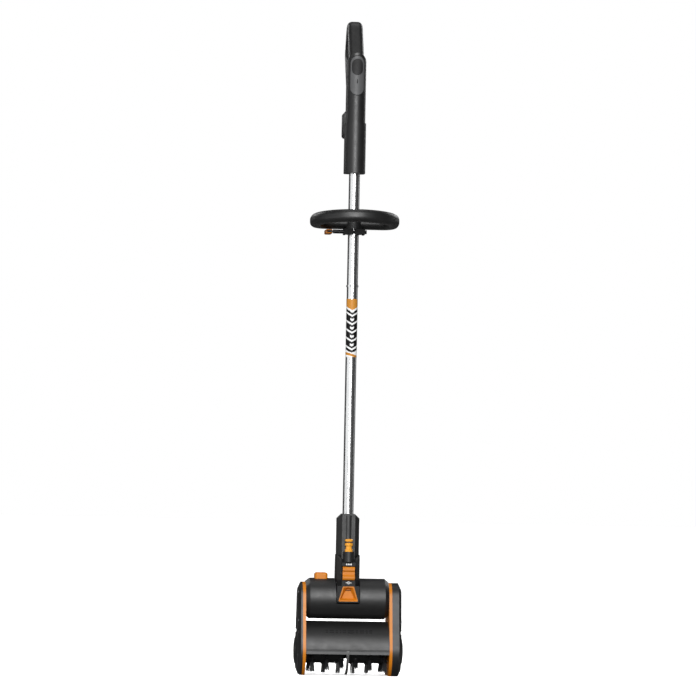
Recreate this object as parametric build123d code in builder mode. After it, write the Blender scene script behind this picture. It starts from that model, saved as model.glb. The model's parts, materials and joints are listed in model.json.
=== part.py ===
"""Cordless, water-fed roller-brush surface cleaner: head, tilting neck, tube and two handles.

Millimetres. +Z is up the tube, -Y is the front (where the nozzle and the water valve are),
+X is the drive (belt) side. The origin is on the floor, under the tube's axis.
"""
from build123d import *
from math import cos, radians, sin
import os

os.makedirs("parts", exist_ok=True)

# ---------------------------------------------------------------- driving dimensions
# Head
MOTOR_Z = 152                  # motor axis, which is also the neck's hinge
BRUSH_Z = 48                   # brush axis
INNER_X = 83                   # inner face of each frame plate
PLATE_T = 6                    # frame plate thickness
PLATE_X = INNER_X + PLATE_T    # outer face of each frame plate
PLATE_TOP_R = 32.4
PLATE_LOW_R = 57
LEFT_X = 98                    # outer face of the idle-side cover
RIGHT_X = 108.5                # outer face of the belt-side cover
BULGE = 4                      # how far the bearing boss stands out of each cover
COVER_WALL = 2.5
SEAM_Z = 66                    # joint between each upper cover and its lower cap
MOTOR_R = 40.5                 # motor housing
HOUSING_WALL = 3
DRUM_R = 30                    # waist of the housing that the neck turns on
DRUM_BORE_R = 27
SLOT_X = 24                    # half width of the slot that the neck swings in
HOOD_R = 59
HOOD_T = 3
LIP_Z = 48.5
# Brush
HUB_R = 24.5
TIP_R = 46
TUFT_PITCH = 28.8
TUFT_ROWS = 8
TUFT_COLUMNS = 3                # on each half
TUFT_R = 4
TUFT_STAGGER = 5
TUFT_HELIX = 10                # degrees from one column to the next
BRUSH_GAP = 5                  # half of the space between the brush's two sleeves
BRUSH_END = 80.5
AXLE_R = 4.95
BEARING_R = 11
# Motor and belt
CAN_R = 26.8
CAN_X = (-33, 55)
CAN_T = 3
SHAFT_R = 3.95
PULLEY_X = (91, 100)
MOTOR_PULLEY_R = 9
BRUSH_PULLEY_R = 27
PULLEY_FLANGE = 2.6
BELT_T = 2
BELT_INSET = 1.3               # belt edge to the outside of the flange
# Neck
NECK_X = 22.5                    # half width
NECK_FRONT = -43
NECK_SPLIT = -30               # joint between the neck's front cover and its body
TONGUE_Z = 145.2
RUN_GAP = 0.3                  # clearance between round faces that move on each other
ROCKER_Z = 203
ROCKER_X = 12              # half width
NOZZLE_Z = (147.4, 177)
INLET_Y = -34
INLET_Z = (226, 246)
SOCKET_X = 22
SOCKET_Y = 22.5
SOCKET_TOP = 321
# Tube
TUBE_R = 11
TUBE_WALL = 1.2
TUBE_LOW = 244
TUBE_JOIN = 776
TUBE_HIGH = 1058
WRAP_Z = (634, 750)
# Auxiliary handle
AUX_Z = 902.5                    # middle of the loop at the tube
AUX_TILT = 4.5
AUX_T = 25
AUX_R = 89                     # outside of the loop's round front
AUX_ARC_Y = -27                # centre of that round
AUX_BAR = 25                   # width of the loop's bar, seen from above
LEVER_XY = (-50, -17.5)
LEVER_Z = (879.5, 888)
# Top handle
HANDLE_Z = 1002
HANDLE_STEP = 1102
HANDLE_TOP = 1242
HANDLE_R = 19.2
HANDLE_FRONT = -24
HANDLE_REAR = 22
HANDLE_WALL = 2.5
GRIP_X = 15.5
BATTERY_Z = (1079, 1131)
BATTERY_Y = (23.9, 94)
BATTERY_X = 20
PANEL_Z = (1158, 1236)
BUTTON_Z = (1198, 1230)

ROUND_C = HANDLE_FRONT + HANDLE_R
LOW = (Align.MIN, Align.MIN, Align.MIN)
UPRIGHT = (Align.CENTER, Align.CENTER, Align.MIN)


# ---------------------------------------------------------------- shared shapes
def block(x, y, z, mode=Mode.ADD):
    """A box from three (low, high) pairs."""
    with Locations((x[0], y[0], z[0])):
        Box(x[1] - x[0], y[1] - y[0], z[1] - z[0], align=LOW, mode=mode)


def x_rod(y, z, r, x, mode=Mode.ADD):
    """A cylinder along X between the two values of x."""
    with BuildSketch(Plane.YZ.offset(x[0])) as end:
        with Locations((y, z)):
            Circle(r)
    extrude(end.sketch, amount=x[1] - x[0], mode=mode)


def z_rod(x, y, r, z, mode=Mode.ADD):
    """A cylinder along Z between the two values of z."""
    with BuildSketch(Plane.XY.offset(z[0])) as end:
        with Locations((x, y)):
            Circle(r)
    extrude(end.sketch, amount=z[1] - z[0], mode=mode)


def x_ring(y, z, r_out, r_in, x, mode=Mode.ADD):
    """A ring whose axis is along X."""
    with BuildSketch(Plane.YZ.offset(x[0])) as end:
        with Locations((y, z)):
            Circle(r_out)
            Circle(r_in, mode=Mode.SUBTRACT)
    extrude(end.sketch, amount=x[1] - x[0], mode=mode)


def hull_of(circles):
    """The outline drawn tight around circles given as (x, y, r)."""
    for x, y, r in circles:
        with Locations((x, y)):
            Circle(r)
    make_hull()


def side_outline(inset=0):
    """Side view of the head: round over the motor, wider round the brush, flat on the floor."""
    hull_of([(0, MOTOR_Z, PLATE_TOP_R - inset), (0, BRUSH_Z, PLATE_LOW_R - inset)])
    with Locations((0, inset)):
        Rectangle(4 * PLATE_LOW_R, 100, align=(Align.CENTER, Align.MAX), mode=Mode.SUBTRACT)


def swing_window(front_deg, rear_deg, r_in):
    """Side view of the space between two angles from the vertical, outside radius r_in."""
    far = 62
    front, rear = radians(front_deg), radians(rear_deg)
    with Locations((0, MOTOR_Z)):
        Polygon(
            (0, 0),
            (far * sin(front), far * cos(front)),
            (-far, far),
            (far, far),
            (far * sin(rear), far * cos(rear)),
            align=None,
        )
        Circle(r_in, mode=Mode.SUBTRACT)


COVER_SCREWS = [(-16, 164), (16, 164), (-31, 108), (31, 108), (-42, 40), (42, 40)]
SCREW_R = 1.7
SCREW_HEAD_R = 3.4
SCREW_HEAD_T = 2.4


# ---------------------------------------------------------------- head: frame and covers
def frame_plate(side):
    """One orange plate. It carries a brush bearing and an end of the motor housing."""
    x = (INNER_X, PLATE_X) if side > 0 else (-PLATE_X, -INNER_X)
    with BuildPart() as plate:
        with BuildSketch(Plane.YZ.offset(x[0])):
            side_outline()
        extrude(amount=PLATE_T)
        x_rod(0, BRUSH_Z, BEARING_R, x, mode=Mode.SUBTRACT)
        if side > 0:
            x_rod(0, MOTOR_Z, MOTOR_PULLEY_R - 1, x, mode=Mode.SUBTRACT)
        for y, z in COVER_SCREWS:
            x_rod(y, z, SCREW_R, x, mode=Mode.SUBTRACT)
    return plate.part


def side_cover(side, outer_x):
    """A whole side cover, hollow, with a round bearing boss and a groove above it."""
    bevel_x = min(6, (outer_x - PLATE_X) * 0.6)
    with BuildPart() as cover:
        with BuildSketch(Plane.YZ.offset(PLATE_X)):
            side_outline()
        extrude(amount=outer_x - bevel_x - PLATE_X)
        with BuildSketch(Plane.YZ.offset(outer_x - bevel_x)):
            side_outline()
        with BuildSketch(Plane.YZ.offset(outer_x)):
            side_outline(12)
        loft()
        for inset, deep_x in ((3, outer_x - bevel_x - 1.5), (13.5, outer_x - COVER_WALL)):
            with BuildSketch(Plane.YZ.offset(PLATE_X)):
                side_outline(inset)
            extrude(amount=deep_x - PLATE_X, mode=Mode.SUBTRACT)
        with BuildSketch(Plane.YZ.offset(outer_x)):
            with Locations((0, BRUSH_Z)):
                Circle(34)
        with BuildSketch(Plane.YZ.offset(outer_x + BULGE)):
            with Locations((0, BRUSH_Z)):
                Circle(25)
        loft()
        block((outer_x - 2, outer_x + 1), (-70, 70), (83, 89), mode=Mode.SUBTRACT)
        for y, z in COVER_SCREWS:
            x_rod(y, z, 4.5, (PLATE_X, outer_x - COVER_WALL))
            x_rod(y, z, SCREW_R, (PLATE_X, outer_x), mode=Mode.SUBTRACT)
            x_rod(y, z, SCREW_HEAD_R, (outer_x - SCREW_HEAD_T, outer_x + 1), mode=Mode.SUBTRACT)
    if side > 0:
        return cover.part
    return mirror(cover.part, about=Plane.YZ, mode=Mode.PRIVATE)


LEFT_COVER = side_cover(-1, LEFT_X)
RIGHT_COVER = side_cover(1, RIGHT_X)

with BuildPart() as left_frame_plate:
    add(frame_plate(-1))
left_frame_plate.part.label = "left_frame_plate"
export_step(left_frame_plate.part, "parts/left_frame_plate.step")

with BuildPart() as right_frame_plate:
    add(frame_plate(1))
right_frame_plate.part.label = "right_frame_plate"
export_step(right_frame_plate.part, "parts/right_frame_plate.step")

with BuildPart() as left_upper_cover:
    add(LEFT_COVER)
    split(bisect_by=Plane.XY.offset(SEAM_Z), keep=Keep.TOP)
left_upper_cover.part.label = "left_upper_cover"
export_step(left_upper_cover.part, "parts/left_upper_cover.step")

with BuildPart() as left_lower_cap:
    add(LEFT_COVER)
    split(bisect_by=Plane.XY.offset(SEAM_Z), keep=Keep.BOTTOM)
left_lower_cap.part.label = "left_lower_cap"
export_step(left_lower_cap.part, "parts/left_lower_cap.step")

with BuildPart() as right_upper_cover:
    add(RIGHT_COVER)
    split(bisect_by=Plane.XY.offset(SEAM_Z), keep=Keep.TOP)
right_upper_cover.part.label = "right_upper_cover"
export_step(right_upper_cover.part, "parts/right_upper_cover.step")

with BuildPart() as right_lower_cap:
    add(RIGHT_COVER)
    split(bisect_by=Plane.XY.offset(SEAM_Z), keep=Keep.BOTTOM)
right_lower_cap.part.label = "right_lower_cap"
export_step(right_lower_cap.part, "parts/right_lower_cap.step")

with BuildPart() as head_screws:
    for y, z in COVER_SCREWS:
        for side, face in ((1, RIGHT_X), (-1, LEFT_X)):
            head = sorted((side * face, side * (face - SCREW_HEAD_T)))
            shank = sorted((side * (face - SCREW_HEAD_T), side * (INNER_X + 0.5)))
            x_rod(y, z, SCREW_HEAD_R - 0.2, head)
            x_rod(y, z, SCREW_R - 0.1, shank)
            slot = sorted((side * face, side * (face - 1)))
            block(slot, (y - 2.4, y + 2.4), (z - 0.5, z + 0.5), mode=Mode.SUBTRACT)
head_screws.part.label = "head_screws"
export_step(head_screws.part, "parts/head_screws.step")


# ---------------------------------------------------------------- head: motor housing
PEDAL_X = (-65, -39)
PEDAL_Y = 11
PEDAL_TOP = 203
PEDAL_GAP = 0.5                # round the pedal in its window
SHELF_Z = MOTOR_Z + 2.5        # floor under the pedal's spring
PIN_R = 2.5
PIN_RADIUS = 34.5              # of the lock pin's circle about the motor axis
PIN_ANGLE = 28                 # from the vertical, towards the rear
PIN_Y = PIN_RADIUS * sin(radians(PIN_ANGLE))
PIN_Z = MOTOR_Z + PIN_RADIUS * cos(radians(PIN_ANGLE))
SLOT_FRONT = -104
SLOT_REAR = 103


def motor_housing():
    """The right-hand half of the motor's cylinder, with the neck's slot cut in its inner end."""
    end_r = MOTOR_R - 6.5
    bulkhead = SLOT_X + HOUSING_WALL
    with BuildPart() as housing:
        with BuildSketch(Plane.XZ):
            with Locations((0, MOTOR_Z)):
                Polygon(
                    (0, DRUM_BORE_R),
                    (0, MOTOR_R),
                    (INNER_X - 8, MOTOR_R),
                    (INNER_X, end_r),
                    (INNER_X, 7),
                    (INNER_X - HOUSING_WALL, 7),
                    (INNER_X - HOUSING_WALL, end_r - HOUSING_WALL),
                    (INNER_X - 9, MOTOR_R - HOUSING_WALL),
                    (bulkhead, MOTOR_R - HOUSING_WALL),
                    (bulkhead, DRUM_BORE_R),
                    align=None,
                )
        revolve(axis=Axis((0, 0, MOTOR_Z), (1, 0, 0)))
        with BuildSketch(Plane.YZ):
            swing_window(SLOT_FRONT, SLOT_REAR, DRUM_R)
        extrude(amount=SLOT_X, mode=Mode.SUBTRACT)
    return housing.part


HOUSING = motor_housing()

with BuildPart() as right_motor_housing:
    add(HOUSING)
right_motor_housing.part.label = "right_motor_housing"
export_step(right_motor_housing.part, "parts/right_motor_housing.step")

with BuildPart() as left_motor_housing:
    add(mirror(HOUSING, about=Plane.YZ, mode=Mode.PRIVATE))
    shelf_y = MOTOR_R - HOUSING_WALL - 0.1
    block(
        (PEDAL_X[0] - 3, PEDAL_X[1] + 3),
        (-shelf_y, shelf_y),
        (SHELF_Z, SHELF_Z + HOUSING_WALL),
    )
    block(
        (PEDAL_X[0] - PEDAL_GAP, PEDAL_X[1] + PEDAL_GAP),
        (-PEDAL_Y - PEDAL_GAP, PEDAL_Y + PEDAL_GAP),
        (MOTOR_Z + 20, MOTOR_Z + 60),
        mode=Mode.SUBTRACT,
    )
    x_rod(PIN_Y, PIN_Z, PIN_R + RUN_GAP, (-SLOT_X - 5, -SLOT_X + 1), mode=Mode.SUBTRACT)
left_motor_housing.part.label = "left_motor_housing"
export_step(left_motor_housing.part, "parts/left_motor_housing.step")


# ---------------------------------------------------------------- head: tilt pedal and lock pin
with BuildPart() as tilt_pedal:
    block(PEDAL_X, (-PEDAL_Y, PEDAL_Y), (SHELF_Z + 27, PEDAL_TOP))
    fillet(tilt_pedal.edges().filter_by(Axis.Z), radius=5)
    fillet(tilt_pedal.faces().sort_by(Axis.Z)[-1].edges(), radius=3.5)
    block((PEDAL_X[0] - 2.5, PEDAL_X[1]), (-PEDAL_Y - 2, PEDAL_Y + 2), (SHELF_Z + 24.5, SHELF_Z + 27.5))
tilt_pedal.part.label = "tilt_pedal"
export_step(tilt_pedal.part, "parts/tilt_pedal.step")

with BuildPart() as pedal_spring:
    wire_r = 0.7
    spring_low = SHELF_Z + HOUSING_WALL + wire_r
    spring_high = SHELF_Z + 24.5 - wire_r
    with BuildLine() as coil:
        Helix(
            pitch=(spring_high - spring_low) / 5,
            height=spring_high - spring_low,
            radius=5,
            center=(sum(PEDAL_X) / 2, 0, spring_low),
        )
    with BuildSketch(coil.line ^ 0):
        Circle(wire_r)
    sweep()
pedal_spring.part.label = "pedal_spring"
export_step(pedal_spring.part, "parts/pedal_spring.step")

with BuildPart() as lock_pin:
    x_rod(PIN_Y, PIN_Z, PIN_R, (-38.5, -NECK_X + 2.5))
    block((-38.5, -35), (PIN_Y - PIN_R, PIN_Y + PIN_R), (PIN_Z - 14, PIN_Z))
lock_pin.part.label = "lock_pin"
export_step(lock_pin.part, "parts/lock_pin.step")


# ---------------------------------------------------------------- head: motor and belt drive
with BuildPart() as motor_can:
    x_ring(0, MOTOR_Z, CAN_R, CAN_R - CAN_T, CAN_X)
    x_ring(0, MOTOR_Z, CAN_R - CAN_T, 9, (CAN_X[0], CAN_X[0] + CAN_T))
    x_ring(0, MOTOR_Z, CAN_R - CAN_T, 9, (CAN_X[1] - CAN_T, CAN_X[1]))
    x_ring(0, MOTOR_Z, CAN_R - CAN_T, 16, (CAN_X[0] + 14, CAN_X[1] - 12))
motor_can.part.label = "motor_can"
export_step(motor_can.part, "parts/motor_can.step")

with BuildPart() as bearings:
    x_ring(0, BRUSH_Z, BEARING_R, AXLE_R + 0.05, (INNER_X, PLATE_X))
    x_ring(0, BRUSH_Z, BEARING_R, AXLE_R + 0.05, (-PLATE_X, -INNER_X))
    x_ring(0, MOTOR_Z, 9, SHAFT_R + 0.05, (CAN_X[0], CAN_X[0] + 5))
    x_ring(0, MOTOR_Z, 9, SHAFT_R + 0.05, (CAN_X[1] - 5, CAN_X[1]))
bearings.part.label = "bearings"
export_step(bearings.part, "parts/bearings.step")

with BuildPart() as motor_rotor:
    x_rod(0, MOTOR_Z, SHAFT_R, (CAN_X[0] - 3, PULLEY_X[1] + 1))
    x_rod(0, MOTOR_Z, 15.4, (CAN_X[0] + 15, CAN_X[1] - 13))
    x_rod(0, MOTOR_Z, 10, (CAN_X[0] + 7, CAN_X[0] + 14))
motor_rotor.part.label = "motor_rotor"
export_step(motor_rotor.part, "parts/motor_rotor.step")


def pulley(z, r, bore_r):
    """A flanged belt pulley."""
    with BuildPart() as wheel:
        x_ring(0, z, r, bore_r, PULLEY_X)
        x_ring(0, z, r + PULLEY_FLANGE, bore_r, (PULLEY_X[0], PULLEY_X[0] + 1))
        x_ring(0, z, r + PULLEY_FLANGE, bore_r, (PULLEY_X[1] - 1, PULLEY_X[1]))
    return wheel.part


with BuildPart() as motor_pulley:
    add(pulley(MOTOR_Z, MOTOR_PULLEY_R, SHAFT_R))
motor_pulley.part.label = "motor_pulley"
export_step(motor_pulley.part, "parts/motor_pulley.step")

with BuildPart() as brush_pulley:
    add(pulley(BRUSH_Z, BRUSH_PULLEY_R, AXLE_R))
    with BuildSketch(Plane.YZ.offset(PULLEY_X[0])):
        with Locations((0, BRUSH_Z)):
            with PolarLocations(16, 5):
                Circle(6)
    extrude(amount=PULLEY_X[1] - PULLEY_X[0], mode=Mode.SUBTRACT)
brush_pulley.part.label = "brush_pulley"
export_step(brush_pulley.part, "parts/brush_pulley.step")


def belt_run(grow):
    """Side view of a belt round both pulleys, that far outside their faces."""
    hull_of([(0, MOTOR_Z, MOTOR_PULLEY_R + grow), (0, BRUSH_Z, BRUSH_PULLEY_R + grow)])


with BuildPart() as drive_belt:
    with BuildSketch(Plane.YZ.offset(PULLEY_X[0] + BELT_INSET)):
        belt_run(RUN_GAP + BELT_T)
        with BuildSketch(mode=Mode.SUBTRACT):
            belt_run(RUN_GAP)
    extrude(amount=PULLEY_X[1] - PULLEY_X[0] - 2 * BELT_INSET)
drive_belt.part.label = "drive_belt"
export_step(drive_belt.part, "parts/drive_belt.step")

with BuildPart() as control_board:
    block((-78, -36), (-28, 28), (SHELF_Z - 2, SHELF_Z))
    block((-74, -60), (-20, -6), (SHELF_Z - 8, SHELF_Z - 2))
    z_rod(-50, 14, 6, (SHELF_Z - 16, SHELF_Z - 2))
    z_rod(-66, 14, 6, (SHELF_Z - 16, SHELF_Z - 2))
control_board.part.label = "control_board"
export_step(control_board.part, "parts/control_board.step")


# ---------------------------------------------------------------- head: brush hood
with BuildPart() as brush_hood:
    with BuildSketch(Plane.YZ.offset(-INNER_X)):
        with Locations((0, BRUSH_Z)):
            Circle(HOOD_R)
            Circle(HOOD_R - HOOD_T, mode=Mode.SUBTRACT)
        with Locations((0, LIP_Z)):
            Rectangle(80, 80, align=(Align.MAX, Align.MAX), mode=Mode.SUBTRACT)
        with Locations((0, LIP_Z - 18.5)):
            Rectangle(80, 80, align=(Align.MIN, Align.MAX), mode=Mode.SUBTRACT)
    extrude(amount=2 * INNER_X)
    block((-INNER_X, INNER_X), (-HOOD_R - 1, -HOOD_R + 1.2), (LIP_Z + 0.8, LIP_Z + 3.8), mode=Mode.SUBTRACT)
brush_hood.part.label = "brush_hood"
export_step(brush_hood.part, "parts/brush_hood.step")

with BuildPart() as splash_strip:
    block((-INNER_X + 0.5, INNER_X - 0.5), (-HOOD_R + 0.3, -HOOD_R + 2.7), (LIP_Z - 5.5, LIP_Z))
splash_strip.part.label = "splash_strip"
export_step(splash_strip.part, "parts/splash_strip.step")

with BuildPart() as joint_tine:
    tine_r = 50.8
    tine_y = -10.7
    tine_z = tine_r + 1.2
    tine_t = 1.6
    with BuildSketch(Plane.YZ.offset(-2.5)):
        with Locations((tine_y, tine_z)):
            Circle(tine_r)
            Circle(tine_r - tine_t, mode=Mode.SUBTRACT)
            Rectangle(2 * tine_r, 4 * tine_r, align=(Align.MIN, Align.CENTER), mode=Mode.SUBTRACT)
        with Locations((0, LIP_Z + 1.5)):
            Rectangle(4 * tine_r, 4 * tine_r, align=(Align.CENTER, Align.MIN), mode=Mode.SUBTRACT)
    extrude(amount=5)
joint_tine.part.label = "joint_tine"
export_step(joint_tine.part, "parts/joint_tine.step")


# ---------------------------------------------------------------- brush
with BuildPart() as brush_axle:
    x_rod(0, BRUSH_Z, AXLE_R, (-PLATE_X + 0.5, PULLEY_X[1] + 2))
brush_axle.part.label = "brush_axle"
export_step(brush_axle.part, "parts/brush_axle.step")

with BuildPart() as brush_cores:
    for x in ((BRUSH_GAP, BRUSH_END), (-BRUSH_END, -BRUSH_GAP)):
        x_ring(0, BRUSH_Z, HUB_R, HUB_R - 3, x)
        x_ring(0, BRUSH_Z, AXLE_R + 3, AXLE_R, x)
    x_ring(0, BRUSH_Z, HUB_R, AXLE_R, (BRUSH_GAP, BRUSH_GAP + 3))
    x_ring(0, BRUSH_Z, HUB_R, AXLE_R, (-BRUSH_GAP - 3, -BRUSH_GAP))
brush_cores.part.label = "brush_cores"
export_step(brush_cores.part, "parts/brush_cores.step")

with BuildPart() as brush_bristles:
    root_r = HUB_R - 1.5
    for side in (-1, 1):
        for column in range(TUFT_COLUMNS):
            for row in range(TUFT_ROWS):
                turn = radians(row * 360 / TUFT_ROWS + column * TUFT_HELIX)
                outward = (0, sin(turn), -cos(turn))
                x = side * TUFT_PITCH * (column + 0.5) + TUFT_STAGGER * ((row + 1) % 3 - 1)
                root = (x, root_r * outward[1], BRUSH_Z + root_r * outward[2])
                with Locations(Plane(origin=root, z_dir=outward)):
                    Cone(TUFT_R, TUFT_R + 0.3, TIP_R - root_r, align=UPRIGHT)
brush_bristles.part.label = "brush_bristles"
export_step(brush_bristles.part, "parts/brush_bristles.step")


# ---------------------------------------------------------------- neck
def neck_seam():
    """Front view of the V-shaped seam: the region above it belongs to the tube socket."""
    half = [(12, 231), (24, 241), (40, 241), (40, 400)]
    Polygon(*half, *[(-x, z) for x, z in reversed(half)], align=None)


def neck_blank():
    """The whole neck below the socket, wrapped round the housing's waist."""
    with BuildPart() as blank:
        with BuildSketch(Plane.YZ.offset(-NECK_X)) as side:
            Polygon(
                (0, MOTOR_Z),
                (NECK_FRONT, TONGUE_Z),
                (NECK_FRONT, 224),
                (-24, 246),
                (22, 246),
                (27, 206),
                (27, 184.2),
                align=None,
            )
            with Locations((0, MOTOR_Z)):
                Circle(DRUM_R + RUN_GAP, mode=Mode.SUBTRACT)
        extrude(side.sketch, amount=2 * NECK_X)
        with BuildSketch(Plane.XZ.offset(-60)) as above:
            neck_seam()
        extrude(above.sketch, amount=120, mode=Mode.SUBTRACT)
        bevel = 9
        for side_x in (-1, 1):
            with BuildSketch(Plane.XY.offset(178)) as flank:
                Polygon(
                    (side_x * (NECK_X + 1), NECK_FRONT - 1),
                    (side_x * (NECK_X - bevel - 1), NECK_FRONT - 1),
                    (side_x * (NECK_X + 1), NECK_FRONT + 12),
                    align=None,
                )
            extrude(flank.sketch, amount=80, mode=Mode.SUBTRACT)
    return blank.part


def trapezoid(inset=0):
    """Front view of the spray nozzle."""
    low, high = NOZZLE_Z[0] + inset, NOZZLE_Z[1] - inset
    wide, narrow = 19.5 - 1.2 * inset, 11 - 1.2 * inset
    outline = Polygon((-wide, low), (wide, low), (narrow, high), (-narrow, high), align=None)
    fillet(outline.vertices(), radius=2)


NECK = neck_blank()

with BuildPart() as neck_body:
    add(NECK)
    split(bisect_by=Plane.XZ.offset(-NECK_SPLIT), keep=Keep.BOTTOM)
    block((-30, 30), (-60, 60), (100, 160), mode=Mode.SUBTRACT)
    block((-19, 19), (-27, 17), (190, 260), mode=Mode.SUBTRACT)
    z_rod(0, 0, 4, (170, 200), mode=Mode.SUBTRACT)
    z_rod(0, INLET_Y, 11, (INLET_Z[0], 260), mode=Mode.SUBTRACT)
    with BuildSketch(Plane.YZ.offset(-NECK_X)):
        swing_window(-PIN_ANGLE - 13, PIN_ANGLE + 7, PIN_RADIUS - PIN_R - 0.5)
        with Locations((0, MOTOR_Z)):
            Circle(PIN_RADIUS + PIN_R + 0.5, mode=Mode.INTERSECT)
    extrude(amount=3, mode=Mode.SUBTRACT)
neck_body.part.label = "neck_body"
export_step(neck_body.part, "parts/neck_body.step")

with BuildPart() as neck_front_cover:
    add(NECK)
    split(bisect_by=Plane.XZ.offset(-NECK_SPLIT), keep=Keep.TOP)
    with BuildSketch(Plane.XZ.offset(20)):
        with Locations((0, TONGUE_Z)):
            RectangleRounded(2 * NECK_X, 200, 6, align=(Align.CENTER, Align.MIN))
    extrude(amount=40, mode=Mode.INTERSECT)
    block((-14, 14), (NECK_FRONT + 3, NECK_SPLIT), (NOZZLE_Z[1], 228), mode=Mode.SUBTRACT)
    block((-14, 14), (NECK_FRONT - 1, NECK_SPLIT), (ROCKER_Z - 14.5, ROCKER_Z + 14.5), mode=Mode.SUBTRACT)
    x_rod(-38, ROCKER_Z, 1.5 + RUN_GAP, (-17, 17), mode=Mode.SUBTRACT)
    z_rod(0, INLET_Y, 11, (INLET_Z[0], 260), mode=Mode.SUBTRACT)
    with BuildSketch(Plane.XZ.offset(-NECK_SPLIT)):
        trapezoid()
    extrude(amount=20, mode=Mode.SUBTRACT)
neck_front_cover.part.label = "neck_front_cover"
export_step(neck_front_cover.part, "parts/neck_front_cover.step")

with BuildPart() as spray_nozzle:
    with BuildSketch(Plane.XZ.offset(-NECK_SPLIT + 0.5)):
        trapezoid()
    extrude(amount=-NECK_FRONT + NECK_SPLIT + 1.5)
    with BuildSketch(Plane.XZ.offset(-NECK_FRONT + 2)):
        trapezoid(1.8)
    with BuildSketch(Plane.XZ.offset(-NECK_FRONT - 7)):
        trapezoid(6)
    loft(mode=Mode.SUBTRACT)
    block((-6, 6), (-44, -30), (NOZZLE_Z[1] - 8.5, NOZZLE_Z[1] - 7), mode=Mode.SUBTRACT)
spray_nozzle.part.label = "spray_nozzle"
export_step(spray_nozzle.part, "parts/spray_nozzle.step")

with BuildPart() as valve_body:
    block((-12, 12), (-34.5, NECK_SPLIT), (190, 214))
    z_rod(0, -32.2, 2, (NOZZLE_Z[1], 190))
    z_rod(0, -32.2, 2, (214, INLET_Z[0]))
valve_body.part.label = "valve_body"
export_step(valve_body.part, "parts/valve_body.step")

with BuildPart() as valve_rocker:
    with BuildSketch(Plane.YZ.offset(-ROCKER_X)):
        Polygon(
            (-37, ROCKER_Z - 12.5),
            (-44.5, ROCKER_Z - 13),
            (-46.5, ROCKER_Z - 10),
            (-46.5, ROCKER_Z - 6),
            (-43.5, ROCKER_Z - 3),
            (-43.5, ROCKER_Z + 3),
            (-46.5, ROCKER_Z + 6),
            (-46.5, ROCKER_Z + 10),
            (-44.5, ROCKER_Z + 13),
            (-37, ROCKER_Z + 12.5),
            align=None,
        )
    extrude(amount=2 * ROCKER_X)
    x_rod(-38, ROCKER_Z, 1.5, (-16, 16))
valve_rocker.part.label = "valve_rocker"
export_step(valve_rocker.part, "parts/valve_rocker.step")

with BuildPart() as inlet_boss:
    z_rod(0, INLET_Y, 11, INLET_Z)
    z_rod(0, INLET_Y, 4, (INLET_Z[0] + 3, INLET_Z[1]), mode=Mode.SUBTRACT)
inlet_boss.part.label = "inlet_boss"
export_step(inlet_boss.part, "parts/inlet_boss.step")

NIPPLE_R = 8
INLET_PLANE = Plane(origin=(0, INLET_Y, INLET_Z[1]), x_dir=(1, 0, 0), z_dir=(0, -1, 0))
INLET_AXIS = Axis((0, INLET_Y, 0), (0, 0, 1))

with BuildPart() as hose_nipple:
    with BuildSketch(INLET_PLANE):
        Polygon(
            (4, 0),
            (NIPPLE_R, 0),
            (NIPPLE_R, 4.5),
            (6, 5.5),
            (6, 11),
            (NIPPLE_R, 12),
            (NIPPLE_R, 17),
            (6.2, 17),
            (6.2, 20.5),
            (NIPPLE_R, 20.5),
            (NIPPLE_R, 24),
            (7, 25),
            (4, 25),
            align=None,
        )
    revolve(axis=INLET_AXIS)
hose_nipple.part.label = "hose_nipple"
export_step(hose_nipple.part, "parts/hose_nipple.step")

with BuildPart() as inlet_seal:
    with BuildSketch(INLET_PLANE):
        with Locations((7.1, 18.75)):
            Circle(0.88)
    revolve(axis=INLET_AXIS)
inlet_seal.part.label = "inlet_seal"
export_step(inlet_seal.part, "parts/inlet_seal.step")


# ---------------------------------------------------------------- tube socket
SOCKET_SCREWS = [(x, z) for x in (-13.2, 13.2) for z in (250, 309)]


def socket_blank():
    """Eight-sided sleeve round the foot of the tube, with bevelled shoulders."""
    bevel = 9
    with BuildPart() as blank:
        with BuildSketch(Plane.XZ.offset(-60)) as face:
            Polygon(
                (-SOCKET_X, 239.4),
                (-12, 231),
                (12, 231),
                (SOCKET_X, 239.4),
                (SOCKET_X, SOCKET_TOP - 9),
                (SOCKET_X - 10, SOCKET_TOP),
                (-SOCKET_X + 10, SOCKET_TOP),
                (-SOCKET_X, SOCKET_TOP - 9),
                align=None,
            )
        extrude(face.sketch, amount=120)
        with BuildSketch(Plane.XY.offset(220)) as level:
            Rectangle(2 * SOCKET_X, 2 * SOCKET_Y)
            chamfer(level.vertices(), length=bevel)
        extrude(level.sketch, amount=120, mode=Mode.INTERSECT)
        with BuildSketch(Plane.XY.offset(INLET_Z[1] + 1)) as rib:
            with Locations((0, -SOCKET_Y + 9.5)):
                Circle(11)
        extrude(rib.sketch, amount=SOCKET_TOP - INLET_Z[1] - 4)
        z_rod(0, 0, TUBE_R, (220, SOCKET_TOP + 1), mode=Mode.SUBTRACT)
        for x0 in (13.2, -19.2):
            block((x0, x0 + 6), (-12, 12), (256, 303), mode=Mode.SUBTRACT)
        for x, z in SOCKET_SCREWS:
            with Locations(Location((x, SOCKET_Y + 1, z), (90, 0, 0))):
                Cylinder(3.2, 3.2, align=UPRIGHT, mode=Mode.SUBTRACT)
                Cylinder(1.6, 36, align=UPRIGHT, mode=Mode.SUBTRACT)
    return blank.part


SOCKET = socket_blank()

with BuildPart() as socket_front_shell:
    add(SOCKET)
    split(bisect_by=Plane.XZ, keep=Keep.TOP)
socket_front_shell.part.label = "socket_front_shell"
export_step(socket_front_shell.part, "parts/socket_front_shell.step")

with BuildPart() as socket_rear_shell:
    add(SOCKET)
    split(bisect_by=Plane.XZ, keep=Keep.BOTTOM)
socket_rear_shell.part.label = "socket_rear_shell"
export_step(socket_rear_shell.part, "parts/socket_rear_shell.step")


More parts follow.
